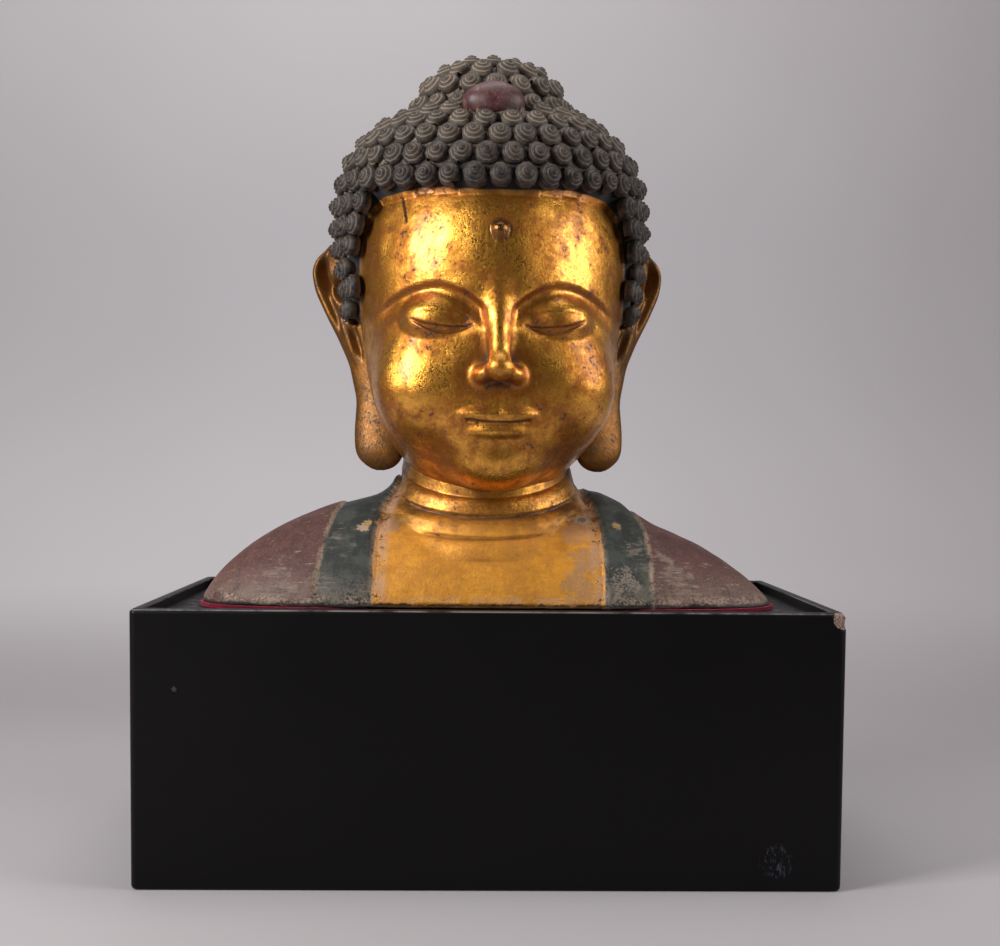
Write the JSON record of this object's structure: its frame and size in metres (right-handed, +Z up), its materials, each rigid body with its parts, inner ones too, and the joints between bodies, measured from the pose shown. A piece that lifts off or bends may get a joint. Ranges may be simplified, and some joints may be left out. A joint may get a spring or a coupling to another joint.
{
  "type": "gilt metal buddha bust on a stand",
  "caption": "Gilt metal buddha bust with snail-shell curls and a draped robe collar, resting on red felt in the tray top of a black box stand.",
  "frame": {"origin": "centre of the stand's footprint, on the surface it stands on", "axes": "+Z up, the face looks along -Y, +X to the right of someone facing it"},
  "size_m": [0.6332, 0.3716, 0.7807],
  "materials": {
    "gilt": "old gold leaf, worn and specked",
    "felt": "deep red felt",
    "black_lacquer": "black satin lacquer",
    "hair": "dark slate paint with beige dust in its grooves",
    "jewel": "semi-gloss dark maroon",
    "robe": "scratched maroon and dark green paint"
  },
  "bodies": {
    "root": {"bust": "gilt", "felt_pad": "felt", "stand": "black_lacquer"}
  },
  "joints": []
}
